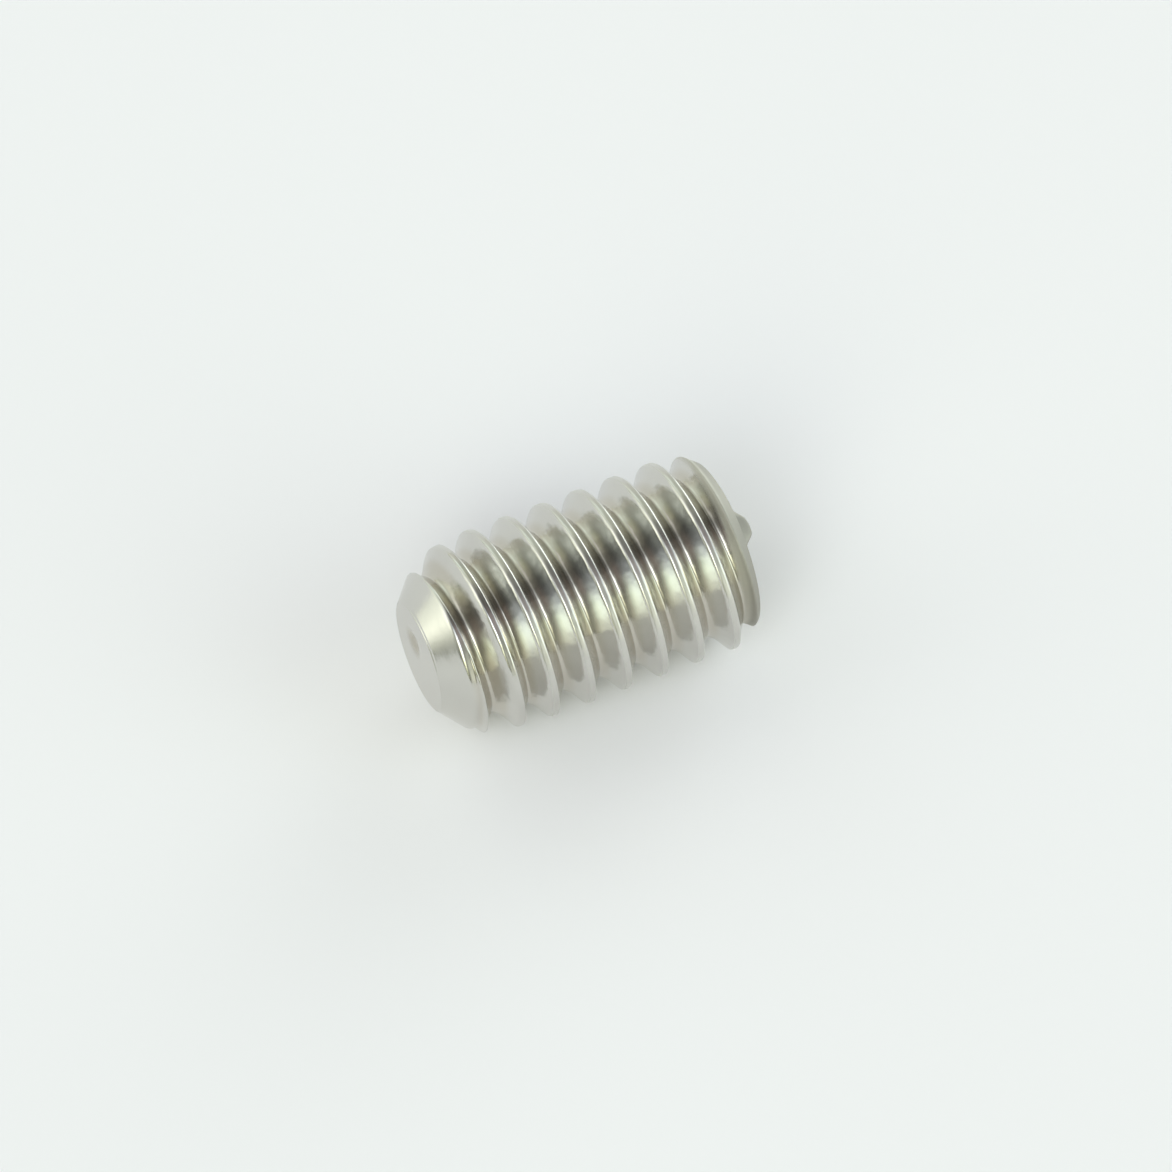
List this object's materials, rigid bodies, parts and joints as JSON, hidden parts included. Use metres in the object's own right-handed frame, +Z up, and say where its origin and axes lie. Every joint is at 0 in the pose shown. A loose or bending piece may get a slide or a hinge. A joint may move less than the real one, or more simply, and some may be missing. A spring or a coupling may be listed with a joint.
{
  "type": "grub set screw",
  "caption": "Headless socket set screw with a fine external thread, a chamfered flat point at one end and, at the other, a hexagon socket with a small burr on its rim.",
  "frame": {"origin": "on the screw's axis, in the middle of the flat point", "axes": "+X along the screw from the flat point to the drive end, +Z up with the screw lying on its side"},
  "size_m": [0.0046, 0.0028, 0.0028],
  "materials": {
    "stainless": "bright turned stainless steel"
  },
  "bodies": {
    "root": {"grub_screw": "stainless"}
  },
  "joints": []
}
